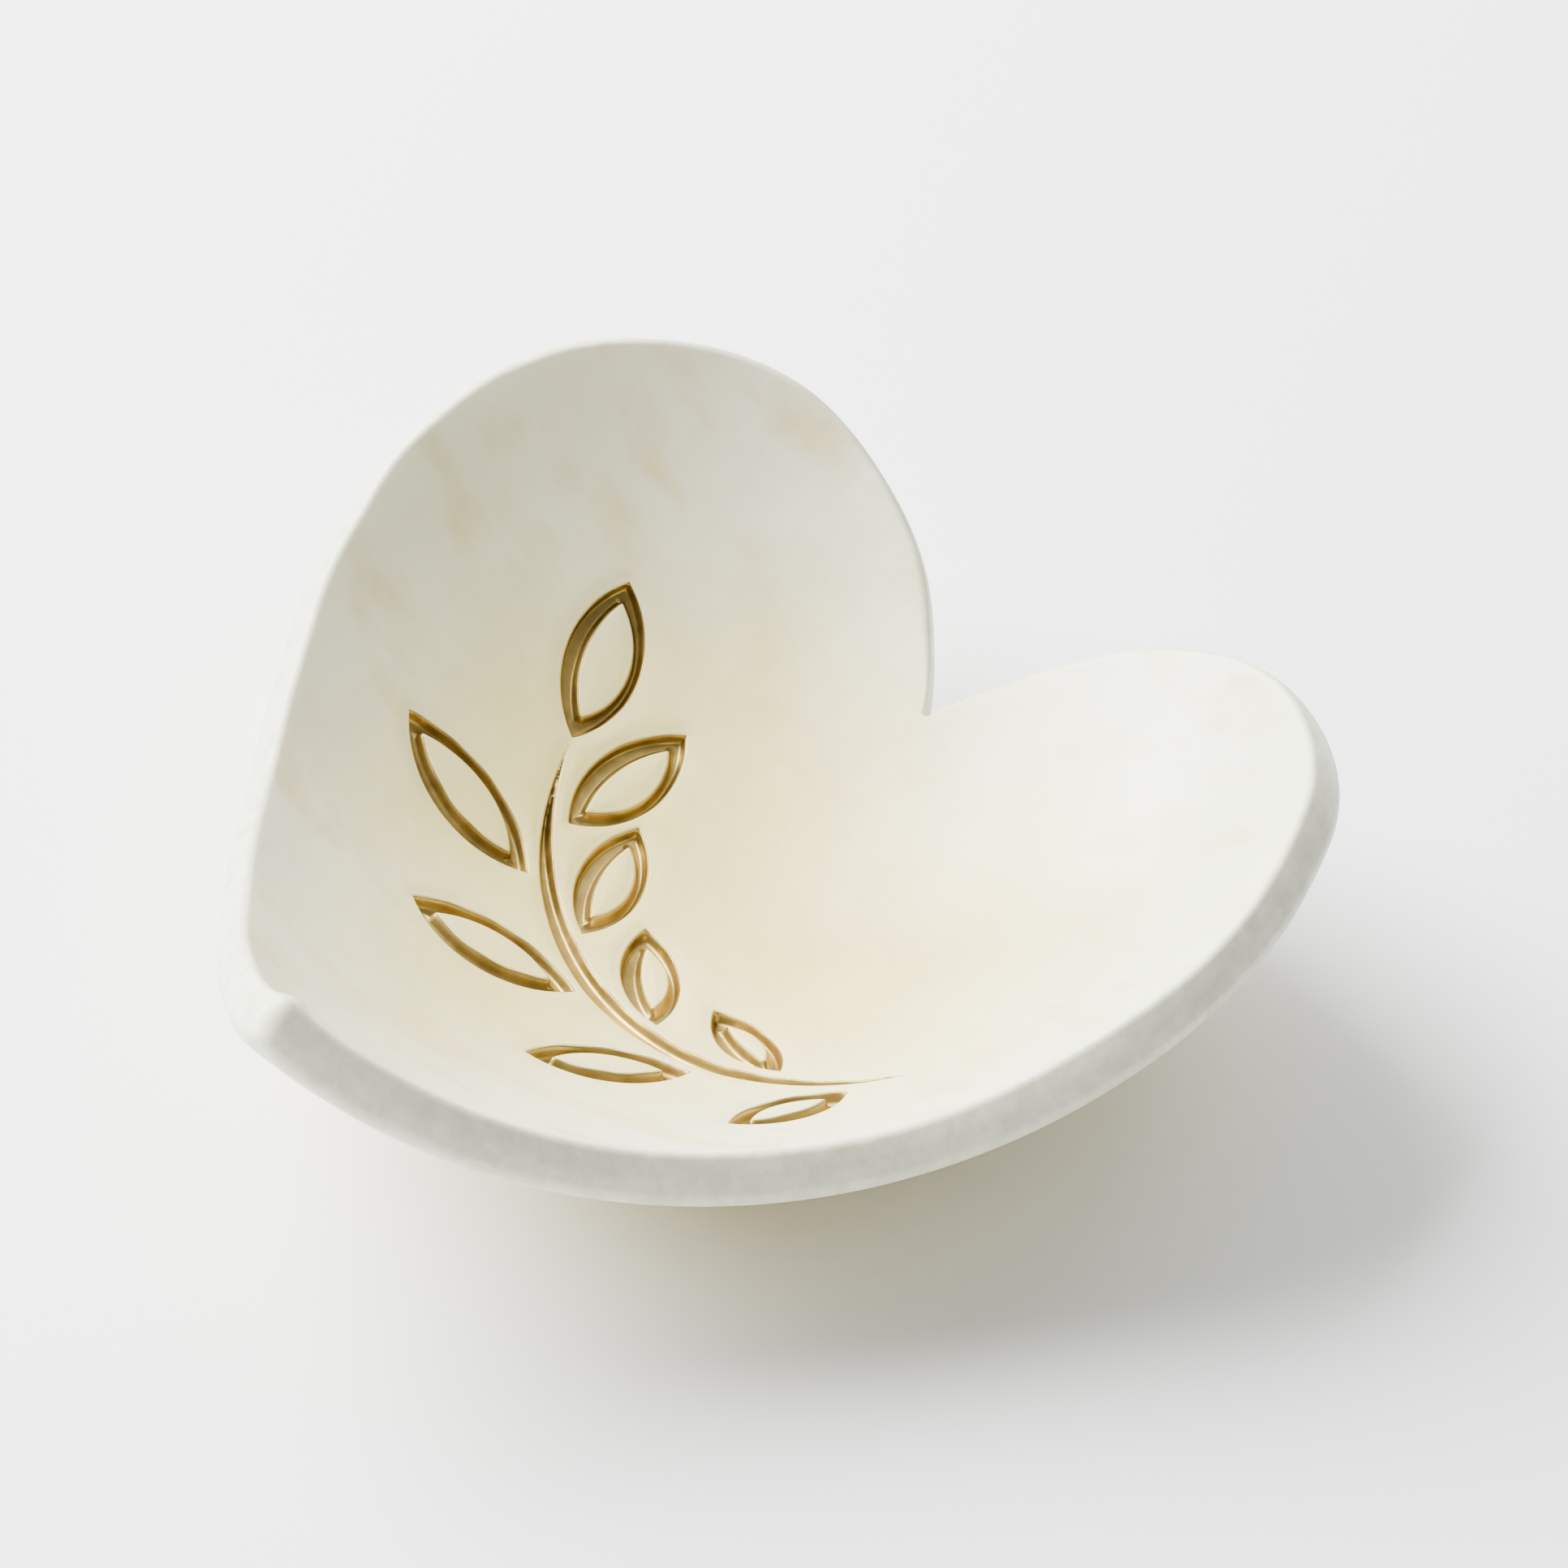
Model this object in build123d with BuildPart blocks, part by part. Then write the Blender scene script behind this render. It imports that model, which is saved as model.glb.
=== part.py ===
from build123d import *
import math
import os

# Heart-shaped trinket dish: one slab of clay, cut out with a heart cutter and slumped into a
# bowl-shaped mould, with a leafy sprig pressed into its floor and filled with gold.
# Everything is drawn flat first, as on the rolled-out slab, in "across" and "along" distances
# from the point that will rest on the table, and then laid over the mould by on_bowl().
# Millimetres and degrees. +X is across the heart, +Y runs from its tip to its cleft, +Z is up.

# ---- driving dimensions --------------------------------------------------------------------

# Flat heart: each half is a chain of arcs, from the tip round the lobe to the cleft.
tip_to_rest = 61.5
tip_radius = 1.5
tip_half_angle = 45.0
side_radius = 480.0
side_turn = 6.7
shoulder_radius = 54.0
shoulder_turn = 60.0
lobe_radius = 20.5
lobe_turn = 83.0
cleft_arc_radius = 33.0

# Slab and the mould it hangs in.
slab_thickness = 4.2
across_radius = 48.0
curved_half_width = 44.0
along_radius = 57.0
underside_shrink = 0.02

# Flat ground on the underside, where the dish rests.
rest_flat_radius = 7.0

# Sprig pressed into the floor: a crescent stem with open, almond-shaped leaves. A leaf's reach
# is its length over the distance between leaves along the stem, so that neighbours stay clear.
groove_depth = 1.0
gold_thickness = 0.45
gold_clearance = 0.03
sprig_centre = (7.0, 16.0)
stem_bend_radius = 30.0
stem_start_angle = -46.0
stem_sweep = 112.0
stem_width = 2.1
leaves_per_side = 4
first_leaf_share = 0.12
last_leaf_share = 0.97
first_leaf_reach = 0.963
last_leaf_reach = 1.364
end_leaf_reach = 1.364
inner_leaf_scale = 0.88
leaf_fullness = 0.21
leaf_spread = 40.0
leaf_gap = 0.7
thick_stroke = 1.9
thin_stroke = 1.1
leaf_end_stroke = 2.4

# Construction sizes: how far cutting walls and blanks run past the clay.
wall_margin = 1.0
blank_flank = 16.0
outline_steps = 60
stroke_steps = 16

# ---- derived sizes -------------------------------------------------------------------------

rest_ground = (across_radius + slab_thickness) - math.sqrt(
    (across_radius + slab_thickness) ** 2 - rest_flat_radius**2
)
floor_height = slab_thickness - rest_ground
flank_slope = curved_half_width / across_radius
stem_end_angle = stem_start_angle - stem_sweep
leaf_share_step = (last_leaf_share - first_leaf_share) / leaves_per_side
leaf_spacing = stem_bend_radius * math.radians(stem_sweep * leaf_share_step)


def on_bowl(point, depth, shrink=0.0):
    """The flat point laid over the mould, depth below the inner face (negative is above it)."""
    scale = 1 - shrink * depth / slab_thickness
    across = abs(point.X) * scale
    along = point.Y * scale
    slope = min(across, curved_half_width) / across_radius
    beyond = max(across - curved_half_width, 0)
    out = (across_radius + depth) * math.sin(slope) + beyond * math.cos(slope)
    rise = across_radius - (across_radius + depth) * math.cos(slope) + beyond * math.sin(slope)
    turn = along / along_radius
    reach = along_radius - rise
    height = floor_height + along_radius - reach * math.cos(turn)
    return Vector(math.copysign(out, point.X), reach * math.sin(turn), height)


def clay_layer(top, bottom):
    """Everything between two depths below the inner face, all the way round the mould."""
    centre = (0, floor_height + across_radius)
    flank = Vector(math.cos(flank_slope), math.sin(flank_slope)) * blank_flank
    with BuildPart() as layer:
        with BuildSketch(Plane.XZ):
            with BuildLine():
                inner = CenterArc(centre, across_radius + top, -90, math.degrees(flank_slope))
                outer = CenterArc(centre, across_radius + bottom, -90, math.degrees(flank_slope))
                inner_flank = Line(inner @ 1, inner @ 1 + flank)
                outer_flank = Line(outer @ 1, outer @ 1 + flank)
                Line(inner_flank @ 1, outer_flank @ 1)
                Line(inner @ 0, outer @ 0)
            make_face()
            mirror(about=Plane.YZ)
        revolve(axis=Axis((0, 0, floor_height + along_radius), (1, 0, 0)))
    return layer.part.solid()


def split_by_walls(blank, curves, top, bottom, steps, shrink=0.0):
    """The pieces of a layer inside and outside an outline of two curves, cut square to the bowl."""
    walls = []
    for curve in curves:
        points = [curve @ (step / steps) for step in range(steps + 1)]
        upper = Spline(*[on_bowl(point, top - wall_margin, shrink) for point in points])
        lower = Spline(*[on_bowl(point, bottom + wall_margin, shrink) for point in points])
        walls.append(Face.make_surface_from_curves(upper, lower))
    middle = on_bowl((curves[0] @ 0.5 + curves[1] @ 0.5) / 2, (top + bottom) / 2)
    pieces = blank.split(Shell(walls), keep=Keep.ALL)
    return pieces.sort_by(lambda piece: not piece.is_inside(middle))


def heart_halves():
    """The heart cutter's outline, as its right and left halves."""
    with BuildLine() as right:
        tip = JernArc((0, -tip_to_rest), (1, 0), tip_radius, 90 - tip_half_angle)
        side = JernArc(tip @ 1, tip % 1, side_radius, side_turn)
        shoulder = JernArc(side @ 1, side % 1, shoulder_radius, shoulder_turn)
        lobe = JernArc(shoulder @ 1, shoulder % 1, lobe_radius, lobe_turn)
        # The last arc stops where it meets the middle line.
        heading = math.atan2((lobe % 1).Y, (lobe % 1).X) % math.tau
        arc_centre = (lobe @ 1).X - cleft_arc_radius * math.sin(heading)
        cleft_heading = math.pi + math.asin(arc_centre / cleft_arc_radius)
        turn = math.degrees(cleft_heading - heading)
        JernArc(lobe @ 1, lobe % 1, cleft_arc_radius, turn)
    outline = right.wires()[0]
    return [outline, outline.mirror(Plane.YZ)]


def two_arcs(start, end, left_rise, right_rise):
    """Two arcs from start to end, each with its height above the line between them."""
    with BuildLine():
        left = SagittaArc(start, end, left_rise)
        right = SagittaArc(start, end, right_rise)
    return [left, right]


def stem_point(angle, away=0.0):
    """A point on the stem's centre arc, or away from it on the outer side."""
    return Vector(*sprig_centre) + Vector(stem_bend_radius + away, 0).rotate(Axis.Z, angle)


def stem_stroke(layer, top, bottom, clearance=0.0):
    """The stem between two depths: a crescent that is widest halfway along."""
    start = stem_point(stem_start_angle)
    end = stem_point(stem_end_angle)
    rise = stem_bend_radius * (1 - math.cos(math.radians(stem_sweep / 2)))
    half_width = stem_width / 2 - clearance
    crescent = two_arcs(start, end, rise + half_width, rise - half_width)
    return split_by_walls(layer, crescent, top, bottom, 2 * stroke_steps)[0]


def leaf_stroke(layer, place, top, bottom, clearance=0.0):
    """A leaf's outline between two depths: an almond with a smaller almond cut out of it."""
    base, heading, length = place
    way = Vector(1, 0).rotate(Axis.Z, heading)
    point = base + way * length
    bulge = leaf_fullness * length
    ends = way * (clearance * length / bulge)
    outer = two_arcs(base + ends, point - ends, bulge - clearance, clearance - bulge)
    inset = way * leaf_end_stroke - ends
    left_rise = bulge - thick_stroke + clearance
    right_rise = thin_stroke - bulge - clearance
    eye = two_arcs(base + inset, point - inset, left_rise, right_rise)
    almond = split_by_walls(layer, outer, top, bottom, stroke_steps)[0]
    return split_by_walls(almond, eye, top, bottom, stroke_steps)[1]


def leaf_places():
    """Each leaf's base, heading and length by name, from the foot of the stem to its end."""
    places = {}
    away = stem_width / 2 + leaf_gap
    reach_step = (last_leaf_reach - first_leaf_reach) / (leaves_per_side - 1)
    for number in range(leaves_per_side):
        share = first_leaf_share + leaf_share_step * number
        length = leaf_spacing * (first_leaf_reach + reach_step * number)
        outer_angle = stem_start_angle - stem_sweep * share
        outer = (stem_point(outer_angle, away), outer_angle - 90 + leaf_spread, length)
        places[f"gold_leaf_outer_{number + 1}"] = outer
        inner_angle = outer_angle - stem_sweep * leaf_share_step / 2
        inner_length = length * inner_leaf_scale
        inner = (stem_point(inner_angle, -away), inner_angle - 90 - leaf_spread, inner_length)
        places[f"gold_leaf_inner_{number + 1}"] = inner
    end_heading = stem_end_angle - 90
    end_base = stem_point(stem_end_angle) + Vector(leaf_gap, 0).rotate(Axis.Z, end_heading)
    places["gold_leaf_end"] = (end_base, end_heading, leaf_spacing * end_leaf_reach)
    return places


# ---- ceramic slab --------------------------------------------------------------------------

sprig_leaves = leaf_places()
groove_layer = clay_layer(-wall_margin, groove_depth)

with BuildPart() as dish_slab:
    slab_layer = clay_layer(0, slab_thickness)
    heart = heart_halves()
    add(split_by_walls(slab_layer, heart, 0, slab_thickness, outline_steps, underside_shrink)[0])
    split(bisect_by=Plane.XY, keep=Keep.TOP)
    add(stem_stroke(groove_layer, -wall_margin, groove_depth), mode=Mode.SUBTRACT)
    for place in sprig_leaves.values():
        add(leaf_stroke(groove_layer, place, -wall_margin, groove_depth), mode=Mode.SUBTRACT)

# ---- gold in the pressed strokes -----------------------------------------------------------

gold_top = groove_depth - gold_thickness
gold_layer = clay_layer(gold_top, groove_depth)

with BuildPart() as gold_stem:
    add(stem_stroke(gold_layer, gold_top, groove_depth, gold_clearance))

gold_leaves = {}
for name, place in sprig_leaves.items():
    with BuildPart() as gold_leaf:
        add(leaf_stroke(gold_layer, place, gold_top, groove_depth, gold_clearance))
    gold_leaves[name] = gold_leaf

# ---- files ---------------------------------------------------------------------------------

os.makedirs("parts", exist_ok=True)

pieces = {"dish_slab": dish_slab, "gold_stem": gold_stem, **gold_leaves}
for name, piece in pieces.items():
    piece.part.label = name
    export_step(piece.part, f"parts/{name}.step")
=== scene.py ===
"""Heart-shaped trinket dish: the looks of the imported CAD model.

The clay slab and the gold in its pressed strokes are drawn flat, in millimetres, as on a rolled-out
slab, and laid over the mould by on_bowl(), which gives metres in the CAD frame. The flat drawing
and its sizes are those of the CAD model, so each piece lands on the node that it stands for.
"""

import math

import bpy
import numpy as np
from mathutils import Matrix, Vector
from mathutils.geometry import delaunay_2d_cdt

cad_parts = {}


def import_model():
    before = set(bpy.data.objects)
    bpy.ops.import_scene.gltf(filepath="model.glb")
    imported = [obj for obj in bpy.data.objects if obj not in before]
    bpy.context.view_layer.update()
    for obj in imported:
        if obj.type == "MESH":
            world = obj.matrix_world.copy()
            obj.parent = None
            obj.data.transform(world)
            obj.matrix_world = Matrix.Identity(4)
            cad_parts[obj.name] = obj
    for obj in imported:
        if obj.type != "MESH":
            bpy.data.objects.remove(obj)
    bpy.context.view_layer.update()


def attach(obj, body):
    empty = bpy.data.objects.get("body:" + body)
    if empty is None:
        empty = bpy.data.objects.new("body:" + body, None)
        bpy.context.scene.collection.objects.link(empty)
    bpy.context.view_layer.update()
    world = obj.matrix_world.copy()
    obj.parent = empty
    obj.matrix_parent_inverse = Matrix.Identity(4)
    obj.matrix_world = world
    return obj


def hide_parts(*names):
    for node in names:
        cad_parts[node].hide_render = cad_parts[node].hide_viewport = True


MM = 0.001

# ---- the CAD model's sizes, mm and degrees ------------------------------------------------

TIP_TO_REST = 61.5
TIP_RADIUS = 1.5
TIP_HALF_ANGLE = 45.0
SIDE_RADIUS, SIDE_TURN = 480.0, 6.7
SHOULDER_RADIUS, SHOULDER_TURN = 54.0, 60.0
LOBE_RADIUS, LOBE_TURN = 20.5, 83.0
CLEFT_ARC_RADIUS = 33.0

THICKNESS = 4.2
ACROSS_RADIUS = 48.0
CURVED_HALF_WIDTH = 44.0
ALONG_RADIUS = 57.0
UNDERSIDE_SHRINK = 0.02
REST_FLAT_RADIUS = 7.0
OUTER_RADIUS = ACROSS_RADIUS + THICKNESS
FLOOR_HEIGHT = THICKNESS - (OUTER_RADIUS - math.sqrt(OUTER_RADIUS**2 - REST_FLAT_RADIUS**2))

GROOVE_DEPTH = 1.0
SPRIG_CENTRE = np.array([7.0, 16.0])
STEM_BEND_RADIUS = 30.0
STEM_START_ANGLE, STEM_SWEEP = -46.0, 112.0
STEM_WIDTH = 2.1
LEAVES_PER_SIDE = 4
FIRST_LEAF_SHARE, LAST_LEAF_SHARE = 0.12, 0.97
FIRST_LEAF_REACH, LAST_LEAF_REACH, END_LEAF_REACH = 0.963, 1.364, 1.364
LEAF_SHARE_STEP = (LAST_LEAF_SHARE - FIRST_LEAF_SHARE) / LEAVES_PER_SIDE
LEAF_SPACING = STEM_BEND_RADIUS * math.radians(STEM_SWEEP * LEAF_SHARE_STEP)
INNER_LEAF_SCALE = 0.88
LEAF_FULLNESS = 0.21
LEAF_SPREAD = 40.0
LEAF_GAP = 0.7
THICK_STROKE, THIN_STROKE = 1.9, 1.1
LEAF_END_STROKE = 2.4

# ---- hand-made detail that the CAD model leaves out, mm -------------------------------------

# The cut edge: rounded at the top, less so in the cleft, and at the bottom, with a slight bulge.
# The sharp cleft of the cutter's outline gets a small round too.
CLEFT_ROUND = 0.3
TOP_ROUND = 0.85
CLEFT_EASE, CLEFT_SHARE = 9.0, 0.3
UNDER_ROUND = 1.25
WALL_BULGE = 0.12

# Slow waves of the faces and of the outline: each one's height, and the distances along which it
# turns by a radian. The outline has a slow and a quick wave, and lies a little inside the cutter's
# line on the whole. UNDER_FADE is the share of the faces' waves that the underside lacks.
ROLLER_WAVE, ROLLER_LENGTHS = 0.10, (9.5, 12.0)
SLANT_WAVE, SLANT_LENGTH = 0.07, 11.0
HAND_WAVE, HAND_LENGTHS = 0.035, (5.2, 7.4)
OUTLINE_WAVE, OUTLINE_LENGTHS = 0.16, ((6.1, 8.3), (4.1, 3.3))
OUTLINE_QUICK_SHARE, OUTLINE_INSET_SHARE = 0.5, 0.3
UNDER_FADE = 0.6

# The pressed strokes: sloping walls that start a little outside the stroke, and soft shoulders.
GROOVE_WALL, GROOVE_LIP = 0.55, 0.1
SHOULDER_DIP, SHOULDER_REACH = 0.17, 0.8

# The gold: a film that thins out over its lip to a wavy edge, where it dips by a share of its
# thickness into the clay. Its closed mesh goes on under the clay's face. The edge's wave turns by
# so many radians per millimetre across and along.
GOLD_FILM, GOLD_LIP, GOLD_TUCK = 0.12, 0.12, 0.25
GOLD_UNDER = 0.35
GOLD_EDGE_WAVE, GOLD_EDGE_TURNS = 0.03, (1.4, 0.9)

# The bead of clay at the tip.
NUB_HEIGHT, NUB_REACH, NUB_INSET = 0.65, 1.15, 2.2

# ---- mesh fineness, mm ---------------------------------------------------------------------

RIM_STEP, RIM_FEWEST = 0.4, 9
TOP_LINES, WALL_LINES, UNDER_LINES = 8, 4, 9

# Rows of points beside each edge of a stroke, at these distances inside it (negative outside).
STROKE_STEP, STROKE_FEWEST = 0.32, 8
ARC_OVER_CHORD = 1.05
GROOVE_ROWS = (-0.9, -0.6, -0.36, -0.18, -0.06, 0.03, 0.12, 0.22, 0.33, 0.45, 0.6)
ROW_SLACK = 0.03
ROW_MERGE = 0.055
ROW_CLEAR_OUTSIDE, ROW_CLEAR_INSIDE = 0.35, 0.15

# Even grids over the rest of the faces, and how near the rim they come, as a share of their step.
COARSE_STEP, COARSE_CLEARANCE = 0.8, 0.6
UNDERSIDE_STEP, UNDERSIDE_CLEARANCE = 1.2, 0.5
GRID_HALF_WIDTH, GRID_TIP_END, GRID_CLEFT_END = 52.0, -64.0, 50.0

# Triangulation: only inside the rim, and with points joined that are closer than this.
KEEP_INSIDE, SAME_POINT = 1, 1e-6

# ---- looks: linear colours, and heights and distances in metres -------------------------------

# The glaze's colour low in the floor and high up the sides: the warm-to-cool change with height is a
# painted tint of light.
GLAZE_WITH_WARM_LIGHT_TINT = (0.66, 0.565, 0.205), (0.74, 0.64, 0.265)
GLAZE_WITH_COOL_LIGHT_TINT = (0.72, 0.73, 0.53), (0.80, 0.80, 0.63)
WARM_BELOW, COOL_ABOVE, HEIGHT_WANDER = 0.005, 0.021, 0.012
STAIN, STAIN_STRENGTH = (0.66, 0.53, 0.24), 0.6
# The cut edge's own mottled colour, darkened with painted shade.
CUT_EDGE_GLAZE_AND_SHADE = (0.58, 0.59, 0.42), (0.71, 0.70, 0.53)
CUT_BLEND = (0.15, 0.4, 0.7, 0.9)
GOLD_SHADES = (0.26, 0.18, 0.050), (0.43, 0.305, 0.090)
PAPER = (0.93, 0.93, 0.93)
NOISE_LOW, NOISE_HIGH = 0.3, 0.7

# ---- camera and lights: degrees, metres, millimetres of lens, watts ---------------------------

CAMERA_AZIMUTH, CAMERA_ELEVATION, CAMERA_ROLL = 34.78, 43.76, 7.85
CAMERA_DISTANCE = 0.350
CAMERA_AIM = Vector((-0.00154, 0.00977, 0.01302))
CAMERA_LENS, SENSOR_WIDTH = 97.25, 36.0
NEAR_CLIP = 0.01
KEY_LIGHT = {"direction": (-0.74, -0.12, 0.58), "distance": 0.9, "size": 0.8, "power": 66.0}
TOP_LIGHT = {"direction": (-0.3, 0.45, 0.9), "distance": 1.0, "size": 0.9, "power": 6.0}
SKY_COLOUR, SKY_STRENGTH = (0.97, 0.98, 1.0, 1.0), 0.48
FLOOR_SIZE = 30.0


def unit(angle):
    """The flat unit vector at an angle in degrees."""
    return np.array([math.cos(math.radians(angle)), math.sin(math.radians(angle))])


def smooth(x):
    """0 to 1 with level ends."""
    x = np.clip(x, 0.0, 1.0)
    return x * x * (3 - 2 * x)


def on_bowl(flat, depth):
    """Flat points, depth below the inner face, laid over the mould, in metres."""
    across, along = np.abs(flat[:, 0]), flat[:, 1]
    slope = np.minimum(across, CURVED_HALF_WIDTH) / ACROSS_RADIUS
    beyond = np.maximum(across - CURVED_HALF_WIDTH, 0)
    out = (ACROSS_RADIUS + depth) * np.sin(slope) + beyond * np.cos(slope)
    rise = ACROSS_RADIUS - (ACROSS_RADIUS + depth) * np.cos(slope) + beyond * np.sin(slope)
    turn = along / ALONG_RADIUS
    reach = ALONG_RADIUS - rise
    height = FLOOR_HEIGHT + ALONG_RADIUS - reach * np.cos(turn)
    return np.stack([np.copysign(out, flat[:, 0]), reach * np.sin(turn), height], 1) * MM


# ---- flat drawing --------------------------------------------------------------------------


def heart_arcs():
    """The right half's arcs from tip to cleft: (centre, radius, first heading, last heading)."""
    arcs = []
    heading = 0.0
    point = np.array([0.0, -TIP_TO_REST])
    turns = (
        (TIP_RADIUS, 90 - TIP_HALF_ANGLE),
        (SIDE_RADIUS, SIDE_TURN),
        (SHOULDER_RADIUS, SHOULDER_TURN),
        (LOBE_RADIUS, LOBE_TURN),
    )
    for radius, turn in turns:
        centre = point + radius * unit(heading + 90)
        arcs.append((centre, radius, heading, heading + turn))
        heading += turn
        point = centre + radius * unit(heading - 90)
    # The last arc ends where the small round in the cleft touches it.
    centre = point + CLEFT_ARC_RADIUS * unit(heading + 90)
    reach = CLEFT_ARC_RADIUS + CLEFT_ROUND
    last = 180 + math.degrees(math.asin(centre[0] / reach))
    arcs.append((centre, CLEFT_ARC_RADIUS, heading, last))
    cleft_centre = centre + reach * unit(last - 90)
    arcs.append((cleft_centre, -CLEFT_ROUND, last, 180.0))
    return arcs


def heart_outline(step, fewest):
    """Points round the whole heart, anticlockwise from the tip, and their outward normals."""
    points, normals = [], []
    for centre, radius, first, last in heart_arcs():
        length = abs(radius * math.radians(last - first))
        count = max(fewest, math.ceil(length / step))
        for heading in np.linspace(first, last, count, endpoint=False):
            points.append(centre + radius * unit(heading - 90))
            normals.append(unit(heading - 90))
    centre, radius, _, last = heart_arcs()[-1]
    points.append(centre + radius * unit(last - 90))
    normals.append(unit(last - 90))
    points, normals = np.array(points), np.array(normals)
    flip = np.array([-1.0, 1.0])
    left_points = (points * flip)[-2:0:-1]
    left_normals = (normals * flip)[-2:0:-1]
    return np.concatenate([points, left_points]), np.concatenate([normals, left_normals])


class Lens:
    """The flat region between two arcs that run from start to end."""

    def __init__(self, start, end, left_rise, right_rise):
        self.start, self.end = start, end
        self.arcs = [self.circle(left_rise), self.circle(right_rise)]

    def circle(self, rise):
        """(centre, radius, side, rise) of the arc with that height above the line to the left."""
        chord = self.end - self.start
        length = np.hypot(*chord)
        left = np.array([-chord[1], chord[0]]) / length
        radius = (length**2 / 4 + rise**2) / (2 * abs(rise))
        side = math.copysign(1, rise)
        middle = (self.start + self.end) / 2
        return middle + left * (rise - side * radius), radius, side, rise

    def distance(self, flat):
        """How far inside the lens flat points are; negative outside."""
        inside = []
        for (centre, radius, side, _), wanted in zip(self.arcs, (1, -1)):
            gap = radius - np.hypot(flat[:, 0] - centre[0], flat[:, 1] - centre[1])
            inside.append(gap * side * wanted)
        return np.minimum(*inside)

    def edge(self, which, shares):
        """Points along the left (0) or right (1) arc."""
        centre, radius, side, rise = self.arcs[which]
        first = self.start - centre
        chord = np.hypot(*(self.end - self.start))
        half_turn = 2 * math.atan(2 * abs(rise) / chord)
        angles = math.atan2(first[1], first[0]) - side * 2 * half_turn * shares
        return centre + radius * np.stack([np.cos(angles), np.sin(angles)], 1)


def stem_point(angle, away=0.0):
    """A point on the stem's centre arc, or away from it on the outer side."""
    return SPRIG_CENTRE + (STEM_BEND_RADIUS + away) * unit(angle)


def stem_lens():
    """The stem: a crescent that is widest halfway along."""
    rise = STEM_BEND_RADIUS * (1 - math.cos(math.radians(STEM_SWEEP / 2)))
    start = stem_point(STEM_START_ANGLE)
    end = stem_point(STEM_START_ANGLE - STEM_SWEEP)
    return Lens(start, end, rise + STEM_WIDTH / 2, rise - STEM_WIDTH / 2)


def leaf_lenses(base, heading, length):
    """A leaf's outline and the eye inside it."""
    way = unit(heading)
    point = base + way * length
    bulge = LEAF_FULLNESS * length
    inset = way * LEAF_END_STROKE
    outer = Lens(base, point, bulge, -bulge)
    eye = Lens(base + inset, point - inset, bulge - THICK_STROKE, THIN_STROKE - bulge)
    return outer, eye


def sprig_strokes():
    """Every stroke's lenses by the name of its CAD node: (crescent,) or (outline, eye)."""
    strokes = {"gold_stem": (stem_lens(),)}
    away = STEM_WIDTH / 2 + LEAF_GAP
    reach_step = (LAST_LEAF_REACH - FIRST_LEAF_REACH) / (LEAVES_PER_SIDE - 1)
    for number in range(LEAVES_PER_SIDE):
        share = FIRST_LEAF_SHARE + LEAF_SHARE_STEP * number
        length = LEAF_SPACING * (FIRST_LEAF_REACH + reach_step * number)
        angle = STEM_START_ANGLE - STEM_SWEEP * share
        outer = leaf_lenses(stem_point(angle, away), angle - 90 + LEAF_SPREAD, length)
        strokes[f"gold_leaf_outer_{number + 1}"] = outer
        angle -= STEM_SWEEP * LEAF_SHARE_STEP / 2
        short = length * INNER_LEAF_SCALE
        inner = leaf_lenses(stem_point(angle, -away), angle - 90 - LEAF_SPREAD, short)
        strokes[f"gold_leaf_inner_{number + 1}"] = inner
    end_angle = STEM_START_ANGLE - STEM_SWEEP
    end_base = stem_point(end_angle) + LEAF_GAP * unit(end_angle - 90)
    strokes["gold_leaf_end"] = leaf_lenses(end_base, end_angle - 90, LEAF_SPACING * END_LEAF_REACH)
    return strokes


def inside_stroke(lenses, flat):
    """How far inside a stroke flat points are; negative outside."""
    distance = lenses[0].distance(flat)
    if len(lenses) > 1:
        distance = np.minimum(distance, -lenses[1].distance(flat))
    return distance


# ---- relief of the clay, mm ----------------------------------------------------------------


def unevenness(flat):
    """Slow waves left by the roller and by hands, added to the depth."""
    x, y = flat[:, 0], flat[:, 1]
    roller = np.sin(x / ROLLER_LENGTHS[0] + 0.6) * np.cos(y / ROLLER_LENGTHS[1] + 0.3)
    slant = np.sin((x + 1.6 * y) / SLANT_LENGTH + 1.1)
    hand = np.sin((1.8 * x - y) / HAND_LENGTHS[0] + 2.0) * np.cos((x + y) / HAND_LENGTHS[1])
    return ROLLER_WAVE * roller + SLANT_WAVE * slant + HAND_WAVE * hand


def outline_wander(outline):
    """How far the cut edge strays outwards from the cutter's line."""
    x, y = outline[:, 0], outline[:, 1]
    (slow_x, slow_y), (quick_x, quick_y) = OUTLINE_LENGTHS
    slow = np.sin(x / slow_x + y / slow_y + 0.4)
    quick = np.sin(y / quick_y - x / quick_x)
    return OUTLINE_WAVE * (slow + OUTLINE_QUICK_SHARE * quick - OUTLINE_INSET_SHARE)


def tip_nub(flat):
    """The small bead of clay that stands where the two cut edges meet at the tip."""
    gap = np.hypot(flat[:, 0], flat[:, 1] + TIP_TO_REST - NUB_INSET)
    return -NUB_HEIGHT * np.exp(-((gap / NUB_REACH) ** 2))


def inner_relief(flat, strokes):
    """Depth of the inner face below the ideal bowl."""
    depth = unevenness(flat) + tip_nub(flat)
    inside = np.max([inside_stroke(lenses, flat) for lenses in strokes.values()], 0)
    depth += SHOULDER_DIP * np.exp(-((np.minimum(inside, 0) / SHOULDER_REACH) ** 2))
    return depth + (GROOVE_DEPTH + GOLD_FILM) * smooth(inside / GROOVE_WALL + GROOVE_LIP)


# ---- meshes --------------------------------------------------------------------------------


def mesh_piece(name, vertices, faces, material):
    """A smooth-shaded mesh object in the scene."""
    mesh = bpy.data.meshes.new(name)
    mesh.from_pydata([tuple(v) for v in vertices], [], faces)
    mesh.validate()
    mesh.shade_smooth()
    mesh.materials.append(material)
    piece = bpy.data.objects.new(name, mesh)
    bpy.context.scene.collection.objects.link(piece)
    return piece


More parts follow.
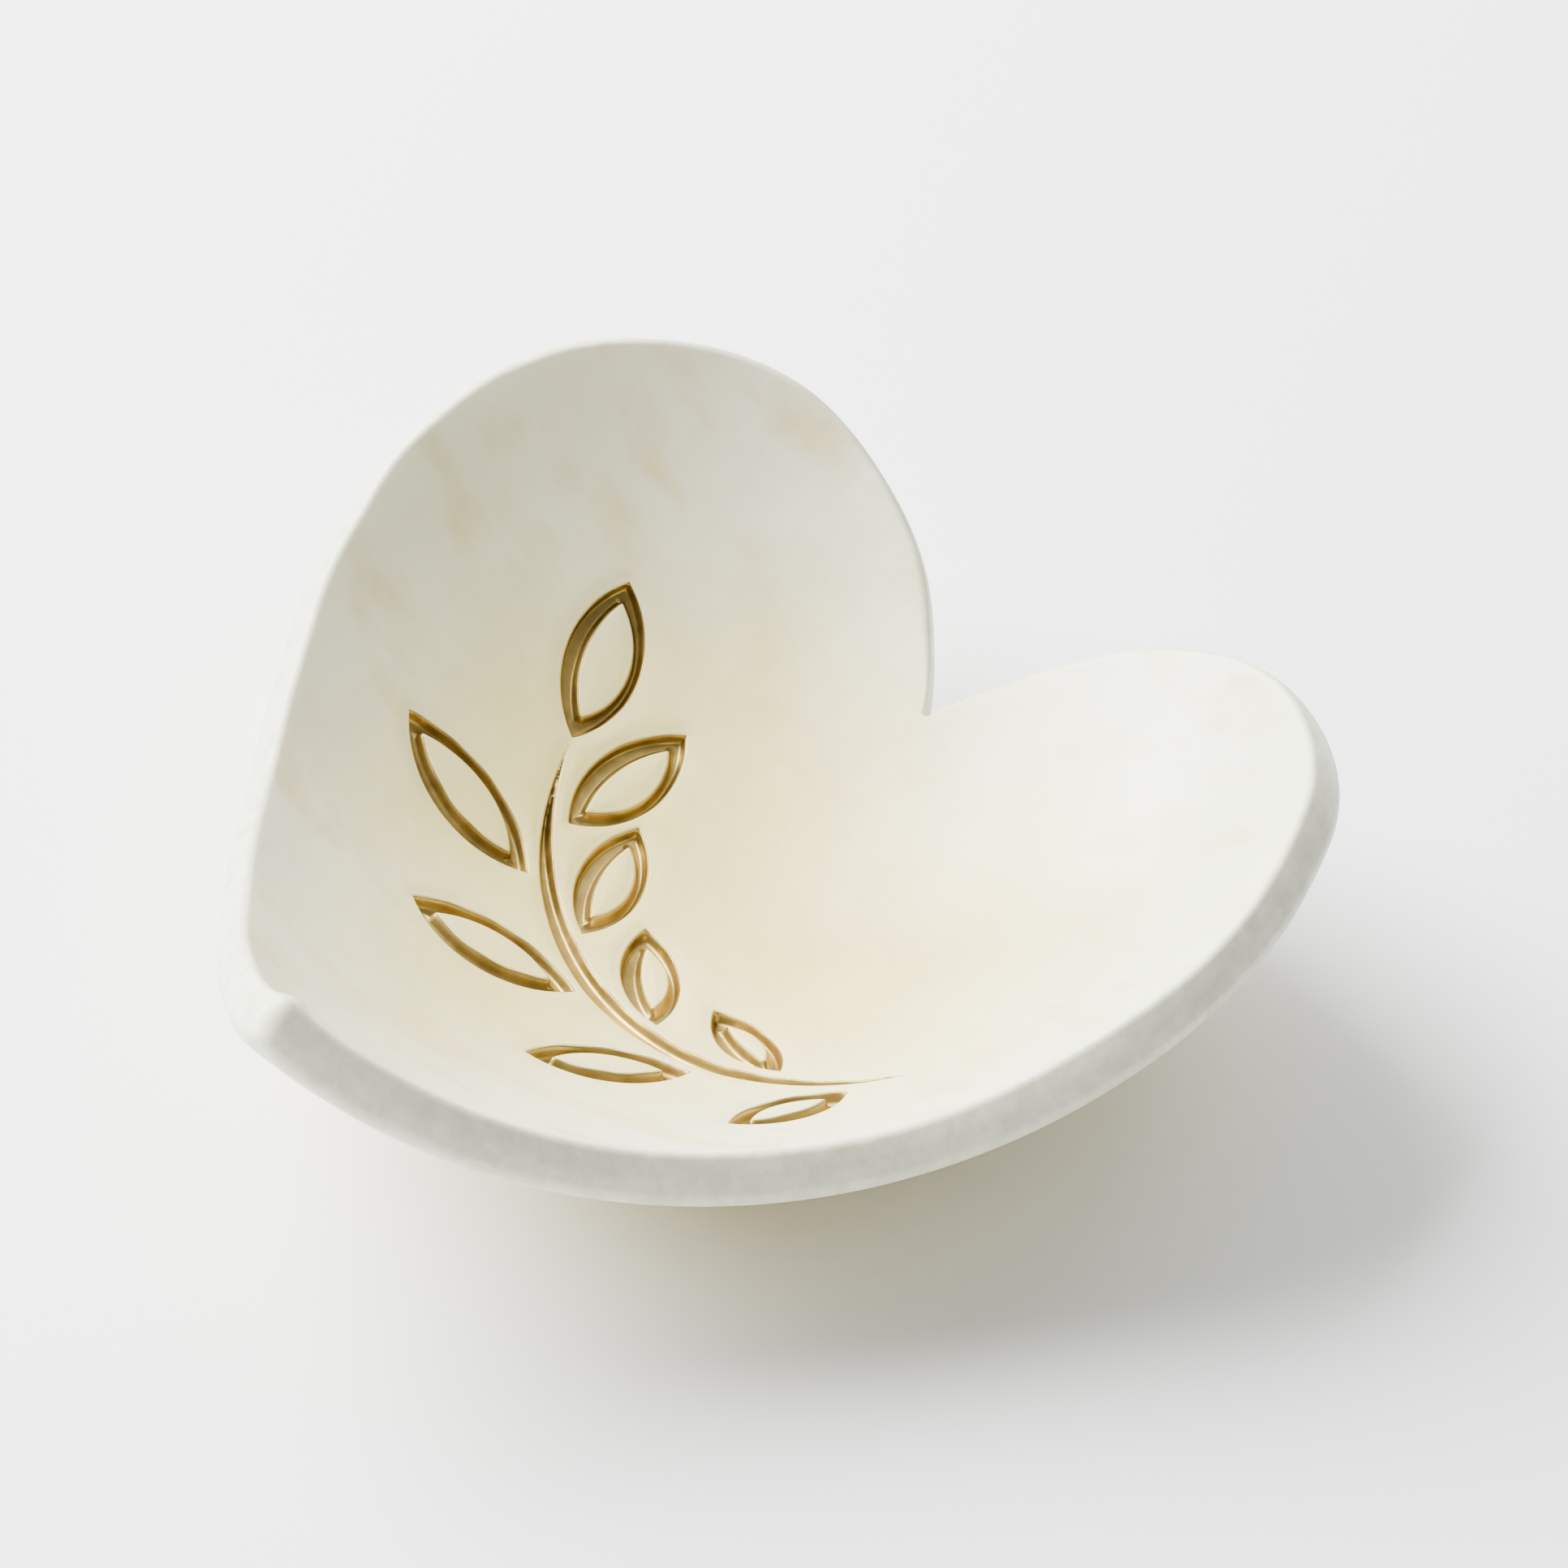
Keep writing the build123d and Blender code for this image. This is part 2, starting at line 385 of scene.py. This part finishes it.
def hex_points(step):
    """A triangular grid of flat points that covers the heart."""
    rows = []
    for row, y in enumerate(np.arange(GRID_TIP_END, GRID_CLEFT_END, step * math.sqrt(3) / 2)):
        x = np.arange(-GRID_HALF_WIDTH, GRID_HALF_WIDTH, step) + (row % 2) * step / 2
        rows.append(np.stack([x, np.full_like(x, y)], 1))
    return np.concatenate(rows)


def clear_of_rim(flat, rim, room):
    """The points that are inside the closed rim line and more than room away from its points."""
    following = np.roll(rim, -1, 0)
    inside = np.zeros(len(flat), bool)
    nearest = np.full(len(flat), np.inf)
    for (x0, y0), (x1, y1) in zip(rim, following):
        straddles = (y0 > flat[:, 1]) != (y1 > flat[:, 1])
        if y1 != y0:
            crossing = (x1 - x0) * (flat[:, 1] - y0) / (y1 - y0) + x0
            inside ^= straddles & (flat[:, 0] < crossing)
        nearest = np.minimum(nearest, (flat[:, 0] - x0) ** 2 + (flat[:, 1] - y0) ** 2)
    return flat[inside & (nearest > room**2)]


def face_of_slab(rim, points):
    """Triangles that join a closed rim line and the points inside it."""
    flat = np.concatenate([rim, points])
    line = [list(range(len(rim)))]
    made = delaunay_2d_cdt([Vector(p) for p in flat], [], line, KEEP_INSIDE, SAME_POINT)
    triangles, own_numbers = made[2], [min(own) for own in made[3]]
    return flat, [[own_numbers[v] for v in triangle] for triangle in triangles]


def stroke_edges(lenses):
    """Points along each edge of a stroke, with the directions that lead into the stroke."""
    edges = []
    for number, lens in enumerate(lenses):
        for which in (0, 1):
            centre, radius, side, _ = lens.arcs[which]
            chord = np.hypot(*(lens.end - lens.start))
            count = max(STROKE_FEWEST, math.ceil(chord * ARC_OVER_CHORD / STROKE_STEP))
            points = lens.edge(which, np.linspace(0, 1, count + 1))
            outward = (points - centre) / radius
            inward = -outward * side * (1, -1)[which] * (1, -1)[number]
            edges.append((points, inward))
    return edges


def inner_points(rim, strokes):
    """Points over the inner face: rows along the strokes' edges and an even grid elsewhere."""

    def depth_inside(flat):
        return np.max([inside_stroke(lenses, flat) for lenses in strokes.values()], 0)

    rows = []
    for lenses in strokes.values():
        for points, inward in stroke_edges(lenses):
            for offset in GROOVE_ROWS:
                row = points + inward * offset
                rows.append(row[np.abs(depth_inside(row) - offset) < ROW_SLACK])
    rows = np.concatenate(rows)
    keep = np.unique(np.round(rows / ROW_MERGE).astype(int), axis=0, return_index=True)[1]
    rows = rows[np.sort(keep)]
    grid = clear_of_rim(hex_points(COARSE_STEP), rim, COARSE_CLEARANCE * COARSE_STEP)
    inside = depth_inside(grid)
    outside_rows = inside < GROOVE_ROWS[0] - ROW_CLEAR_OUTSIDE
    inside_rows = inside > GROOVE_ROWS[-1] + ROW_CLEAR_INSIDE
    return np.concatenate([rows, grid[outside_rows | inside_rows]])


def rim_profile():
    """(inset, depth) of each line of the cut edge, from the inner face to the underside."""
    lines = []
    for angle in np.radians(np.linspace(0, 90, TOP_LINES)):
        lines.append((TOP_ROUND * (1 - math.sin(angle)), TOP_ROUND * (1 - math.cos(angle))))
    low = THICKNESS - UNDER_ROUND
    for line in range(WALL_LINES):
        share = (line + 1) / (WALL_LINES + 1)
        depth = TOP_ROUND + (low - TOP_ROUND) * share
        lines.append((-WALL_BULGE * math.sin(math.pi * share), depth))
    for angle in np.radians(np.linspace(0, 90, UNDER_LINES)):
        lines.append((UNDER_ROUND * (1 - math.cos(angle)), low + UNDER_ROUND * math.sin(angle)))
    return lines


def rim_loops():
    """The lines of the cut edge all the way round, as flat points and depths."""
    outline, normals = heart_outline(RIM_STEP, RIM_FEWEST)
    cleft = outline[len(outline) // 2]
    away = smooth(np.hypot(*(outline - cleft).T) / CLEFT_EASE)
    wander = outline_wander(outline) * away
    cleft_ease = CLEFT_SHARE + (1 - CLEFT_SHARE) * away
    loops, depths = [], []
    for inset, depth in rim_profile():
        ease = cleft_ease if depth < TOP_ROUND else np.ones_like(cleft_ease)
        inset, depth = inset * ease, depth * ease
        scale = (1 - UNDERSIDE_SHRINK * depth / THICKNESS)[:, None]
        flat = outline * scale - normals * (inset - wander)[:, None]
        loops.append(flat)
        fade = 1 - UNDER_FADE * depth / THICKNESS
        depths.append(depth + (unevenness(outline) + tip_nub(flat)) * fade)
    return loops, depths


def dish_piece(strokes, material):
    """The slab as one closed mesh, and its grooved inner face as (flat points, triangles, depths)."""
    loops, depths = rim_loops()
    count = len(loops[0])
    flat, triangles = face_of_slab(loops[0], inner_points(loops[0], strokes))
    depth = inner_relief(flat, strokes)
    depth[:count] = depths[0]
    inner_face = (flat, triangles, depth)
    vertices = [on_bowl(flat, depth)]
    faces = list(triangles)
    start, total = 0, len(flat)
    for loop, loop_depth in zip(loops[1:], depths[1:]):
        vertices.append(on_bowl(loop, loop_depth))
        for i in range(count):
            j = (i + 1) % count
            faces.append([start + i, total + i, total + j, start + j])
        start, total = total, total + count
    room = UNDERSIDE_CLEARANCE * UNDERSIDE_STEP
    points = clear_of_rim(hex_points(UNDERSIDE_STEP), loops[-1], room)
    under, under_triangles = face_of_slab(loops[-1], points)
    under_depth = THICKNESS + (1 - UNDER_FADE) * unevenness(under)
    vertices.append(on_bowl(under, under_depth)[count:])
    for triangle in under_triangles:
        faces.append([start + v if v < count else total + v - count for v in triangle[::-1]])
    vertices = np.concatenate(vertices)
    # The flat ground on which the dish rests.
    vertices[:, 2] = np.maximum(vertices[:, 2], 0.0)
    dish = mesh_piece("dish", vertices, faces, material)
    # How much of each point's colour is the cut edge's mottled colour, darkened with painted shade: it
    # blends in over the first few lines.
    cut = np.zeros(len(vertices))
    cut[len(flat) : start + count] = 1.0
    cut[len(flat) : len(flat) + len(CUT_BLEND) * count] = np.repeat(CUT_BLEND, count)
    dish.data.attributes.new("cut", "FLOAT", "POINT").data.foreach_set("value", cut)
    return dish, inner_face


def largest_patch(triangles):
    """The triangles of the largest patch that hangs together along edges."""
    beside = {}
    for number, triangle in enumerate(triangles):
        for first, second in zip(triangle, triangle[1:] + triangle[:1]):
            beside.setdefault(frozenset((first, second)), []).append(number)
    patch_of = {}
    patches = []
    for seed in range(len(triangles)):
        if seed in patch_of:
            continue
        patch, waiting = [], [seed]
        patch_of[seed] = len(patches)
        while waiting:
            number = waiting.pop()
            patch.append(number)
            triangle = triangles[number]
            for first, second in zip(triangle, triangle[1:] + triangle[:1]):
                for other in beside[frozenset((first, second))]:
                    if other not in patch_of:
                        patch_of[other] = len(patches)
                        waiting.append(other)
        patches.append(patch)
    return [triangles[number] for number in max(patches, key=len)]


def gold_piece(name, lenses, face, material):
    """The gold in one stroke: a thin closed skin that follows the clay's floor and walls."""
    flat, triangles, depth = face
    inside = inside_stroke(lenses, flat)
    within = inside > 0
    chosen = largest_patch([t for t in triangles if within[t].all()])
    used = sorted({v for triangle in chosen for v in triangle})
    place = {v: i for i, v in enumerate(used)}
    flat, inside, depth = flat[used], inside[used], depth[used]
    ragged = GOLD_EDGE_WAVE * np.sin(flat[:, 0] * GOLD_EDGE_TURNS[0] + flat[:, 1] * GOLD_EDGE_TURNS[1])
    film = smooth((inside + ragged) / GOLD_LIP)
    top = depth - GOLD_FILM * ((1 + GOLD_TUCK) * film - GOLD_TUCK)
    vertices = np.concatenate([on_bowl(flat, top), on_bowl(flat, depth + GOLD_UNDER)])
    count = len(used)
    faces = [[place[v] for v in triangle] for triangle in chosen]
    sides = {(t[i], t[(i + 1) % 3]) for t in faces for i in range(3)}
    faces += [[count + v for v in triangle[::-1]] for triangle in faces]
    for first, second in sides:
        if (second, first) not in sides:
            faces.append([second, first, count + first, count + second])
    return mesh_piece(name.replace("gold_", "gilt_"), vertices, faces, material)


# ---- materials -----------------------------------------------------------------------------


def new_material(name):
    """A material with a Principled shader, its node tree and that shader."""
    material = bpy.data.materials.new(name)
    material.use_nodes = True
    tree = material.node_tree
    return material, tree, tree.nodes["Principled BSDF"]


def noise(tree, scale, detail, roughness=0.55, stretch=(1.0, 1.0, 1.0)):
    """Noise over the object's own coordinates, scale in cells per metre."""
    coordinates = tree.nodes.new("ShaderNodeTexCoord")
    mapping = tree.nodes.new("ShaderNodeMapping")
    mapping.inputs["Scale"].default_value = stretch
    texture = tree.nodes.new("ShaderNodeTexNoise")
    texture.inputs["Scale"].default_value = scale
    texture.inputs["Detail"].default_value = detail
    texture.inputs["Roughness"].default_value = roughness
    tree.links.new(coordinates.outputs["Object"], mapping.inputs["Vector"])
    tree.links.new(mapping.outputs["Vector"], texture.inputs["Vector"])
    return texture.outputs["Fac"]


def ramp(tree, factor, *stops):
    """A colour ramp of (place, colour) stops."""
    node = tree.nodes.new("ShaderNodeValToRGB")
    elements = node.color_ramp.elements
    while len(elements) < len(stops):
        elements.new(0.5)
    for element, (place, colour) in zip(elements, stops):
        element.position = place
        element.color = (*colour, 1.0)
    tree.links.new(factor, node.inputs["Fac"])
    return node.outputs["Color"]


def remap(tree, factor, low, high):
    """A noise factor remapped from its usual range to low..high."""
    node = tree.nodes.new("ShaderNodeMapRange")
    node.inputs["From Min"].default_value = NOISE_LOW
    node.inputs["From Max"].default_value = NOISE_HIGH
    node.inputs["To Min"].default_value = low
    node.inputs["To Max"].default_value = high
    tree.links.new(factor, node.inputs["Value"])
    return node.outputs["Result"]


def bump(tree, height, strength, distance, under=None):
    """A bump, over another one if that is given, with its distance in metres."""
    node = tree.nodes.new("ShaderNodeBump")
    node.inputs["Strength"].default_value = strength
    node.inputs["Distance"].default_value = distance
    tree.links.new(height, node.inputs["Height"])
    if under:
        tree.links.new(under, node.inputs["Normal"])
    return node.outputs["Normal"]


def mix_colours(tree, factor, first, second):
    """Two colours, given as sockets or as values, mixed by a factor."""
    node = tree.nodes.new("ShaderNodeMix")
    node.data_type = "RGBA"
    tree.links.new(factor, node.inputs["Factor"])
    for name, colour in (("A", first), ("B", second)):
        socket = next(i for i in node.inputs if i.name == name and i.type == "RGBA")
        if isinstance(colour, tuple):
            socket.default_value = (*colour, 1.0)
        else:
            tree.links.new(colour, socket)
    return next(o for o in node.outputs if o.type == "RGBA")


def height_share(tree, low, high):
    """0 below the low height and 1 above the high one, in metres, blurred by noise."""
    coordinates = tree.nodes.new("ShaderNodeTexCoord")
    split = tree.nodes.new("ShaderNodeSeparateXYZ")
    tree.links.new(coordinates.outputs["Object"], split.inputs["Vector"])
    wander = tree.nodes.new("ShaderNodeMath")
    wander.operation = "MULTIPLY_ADD"
    wander.inputs[1].default_value = HEIGHT_WANDER
    tree.links.new(noise(tree, scale=45.0, detail=3.0), wander.inputs[0])
    tree.links.new(split.outputs["Z"], wander.inputs[2])
    node = tree.nodes.new("ShaderNodeMapRange")
    node.interpolation_type = "SMOOTHSTEP"
    node.inputs["From Min"].default_value = low + HEIGHT_WANDER / 2
    node.inputs["From Max"].default_value = high + HEIGHT_WANDER / 2
    tree.links.new(wander.outputs["Value"], node.inputs["Value"])
    return node.outputs["Result"]


def clay_material():
    """Cream clay under a satin glaze, with a painted tint of light: warmer in the floor and cooler up
    the sides.
    """
    material, tree, shader = new_material("glazed_clay")
    cloud = noise(tree, scale=40.0, detail=4.0)
    warm = ramp(tree, cloud, (0.35, GLAZE_WITH_WARM_LIGHT_TINT[0]), (0.65, GLAZE_WITH_WARM_LIGHT_TINT[1]))
    cool = ramp(tree, cloud, (0.35, GLAZE_WITH_COOL_LIGHT_TINT[0]), (0.65, GLAZE_WITH_COOL_LIGHT_TINT[1]))
    # Painted tint of light: warm low in the floor, cool higher up the sides.
    body = mix_colours(tree, height_share(tree, WARM_BELOW, COOL_ABOVE), warm, cool)
    streak = noise(tree, scale=130.0, detail=4.0, stretch=(0.45, 1.6, 1.0))
    stain = ramp(tree, streak, (0.52, (0.0, 0.0, 0.0)), (0.70, (STAIN_STRENGTH,) * 3))
    body = mix_colours(tree, stain, body, STAIN)
    cut = tree.nodes.new("ShaderNodeAttribute")
    cut.attribute_name = "cut"
    mottle = noise(tree, scale=520.0, detail=6.0, roughness=0.65)
    fleck_and_shade = ramp(tree, mottle, (0.38, CUT_EDGE_GLAZE_AND_SHADE[0]), (0.60, CUT_EDGE_GLAZE_AND_SHADE[1]))
    # The cut edge's mottled colour with painted shade, blended in by the cut mask.
    body = mix_colours(tree, cut.outputs["Fac"], body, fleck_and_shade)
    tree.links.new(body, shader.inputs["Base Color"])
    gloss = remap(tree, noise(tree, scale=60.0, detail=4.0), low=0.34, high=0.48)
    tree.links.new(gloss, shader.inputs["Roughness"])
    shader.inputs["Specular IOR Level"].default_value = 0.45
    shader.inputs["Coat Weight"].default_value = 0.10
    shader.inputs["Coat Roughness"].default_value = 0.28
    dents = noise(tree, scale=130.0, detail=2.0)
    wide = bump(tree, dents, strength=0.60, distance=0.00040)
    brushing = noise(tree, scale=300.0, detail=4.0, stretch=(0.4, 1.5, 1.0))
    streaks = bump(tree, brushing, strength=0.50, distance=0.00018, under=wide)
    grain = noise(tree, scale=1300.0, detail=3.0)
    peel = bump(tree, grain, strength=0.40, distance=0.00007, under=streaks)
    tree.links.new(peel, shader.inputs["Normal"])
    return material


def gold_material():
    """Burnished gold lustre, slightly mottled and grained."""
    material, tree, shader = new_material("gold_lustre")
    cloud = noise(tree, scale=220.0, detail=4.0)
    colour = ramp(tree, cloud, (0.34, GOLD_SHADES[0]), (0.62, GOLD_SHADES[1]))
    tree.links.new(colour, shader.inputs["Base Color"])
    shader.inputs["Metallic"].default_value = 1.0
    lustre = remap(tree, noise(tree, scale=500.0, detail=4.0), low=0.33, high=0.50)
    tree.links.new(lustre, shader.inputs["Roughness"])
    brushing = noise(tree, scale=900.0, detail=3.0)
    grain = bump(tree, brushing, strength=0.30, distance=0.00006)
    tree.links.new(grain, shader.inputs["Normal"])
    return material


def floor_material():
    """Matt near-white paper."""
    material, tree, shader = new_material("pale_floor")
    shader.inputs["Base Color"].default_value = (*PAPER, 1.0)
    shader.inputs["Roughness"].default_value = 0.9
    shader.inputs["Specular IOR Level"].default_value = 0.1
    return material


# ---- scene ---------------------------------------------------------------------------------


def camera():
    """The camera, which looks down into the bowl over the tip, from its right."""
    azimuth, elevation = math.radians(CAMERA_AZIMUTH), math.radians(CAMERA_ELEVATION)
    roll = math.radians(CAMERA_ROLL)
    level = math.cos(elevation)
    back = Vector((math.sin(azimuth) * level, -math.cos(azimuth) * level, math.sin(elevation)))
    right = Vector((math.cos(azimuth), math.sin(azimuth), 0))
    up = back.cross(right)
    across = right * math.cos(roll) + up * math.sin(roll)
    upright = up * math.cos(roll) - right * math.sin(roll)
    matrix = Matrix((across, upright, back)).transposed().to_4x4()
    matrix.translation = CAMERA_AIM + back * CAMERA_DISTANCE
    data = bpy.data.cameras.new("camera")
    data.lens = CAMERA_LENS
    data.sensor_width = SENSOR_WIDTH
    data.clip_start = NEAR_CLIP
    eye = bpy.data.objects.new("camera", data)
    eye.matrix_world = matrix
    bpy.context.scene.collection.objects.link(eye)
    bpy.context.scene.camera = eye


def soft_light(name, direction, distance, size, power):
    """A square area light that faces the dish from a direction."""
    data = bpy.data.lights.new(name, "AREA")
    data.size = size
    data.energy = power
    lamp = bpy.data.objects.new(name, data)
    way = Vector(direction).normalized()
    lamp.location = way * distance
    lamp.rotation_euler = way.to_track_quat("Z", "Y").to_euler()
    bpy.context.scene.collection.objects.link(lamp)


def studio():
    """A pale floor, a large soft key light from the left, and weak light from above and all round."""
    bpy.ops.mesh.primitive_plane_add(size=FLOOR_SIZE, location=(0, 0, 0))
    floor = bpy.context.object
    floor.name = "floor"
    floor.data.materials.append(floor_material())
    soft_light("key", **KEY_LIGHT)
    soft_light("top", **TOP_LIGHT)
    world = bpy.data.worlds.new("studio")
    world.use_nodes = True
    background = world.node_tree.nodes["Background"]
    background.inputs["Color"].default_value = SKY_COLOUR
    background.inputs["Strength"].default_value = SKY_STRENGTH
    bpy.context.scene.world = world


def main():
    """The dish and its gold over the CAD nodes that they replace, in the studio."""
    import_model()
    strokes = sprig_strokes()
    dish, inner_face = dish_piece(strokes, clay_material())
    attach(dish, "root")
    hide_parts("dish_slab")
    gold = gold_material()
    for node, lenses in strokes.items():
        piece = gold_piece(node, lenses, inner_face, gold)
        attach(piece, "root")
        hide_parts(node)
    studio()
    camera()


main()
